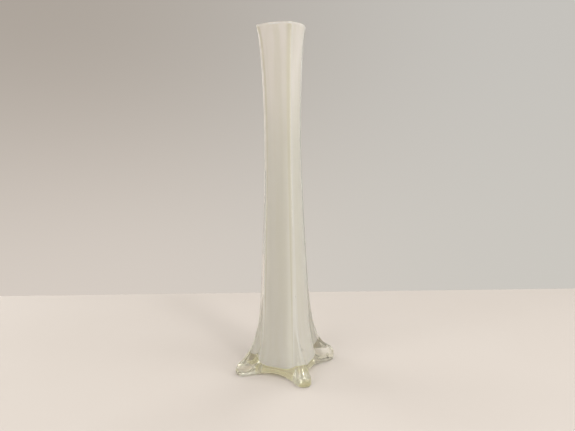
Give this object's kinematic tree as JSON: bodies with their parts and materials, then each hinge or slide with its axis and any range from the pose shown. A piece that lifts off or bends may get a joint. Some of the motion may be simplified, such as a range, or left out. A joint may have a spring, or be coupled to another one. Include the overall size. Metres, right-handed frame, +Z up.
{
  "type": "glass bud vase",
  "caption": "Tall tapered bud vase of cased glass: white opal lining, ribbed clear casing and a thick clear base drawn out into feet.",
  "frame": {"origin": "on the table under the vase's axis", "axes": "+Z up the axis to the mouth; the faces look along X and Y, and the feet lie on the diagonals"},
  "size_m": [0.0968, 0.0968, 0.4],
  "materials": {
    "opal_glass": "opaque white opal glass, glossy inside",
    "clear_glass": "clear blown glass, fire-polished",
    "base_glass": "thick clear glass with a faint yellow-green tint"
  },
  "bodies": {
    "root": {"opal_lining": "opal_glass", "clear_casing": "clear_glass", "footed_base": "base_glass"}
  },
  "joints": []
}
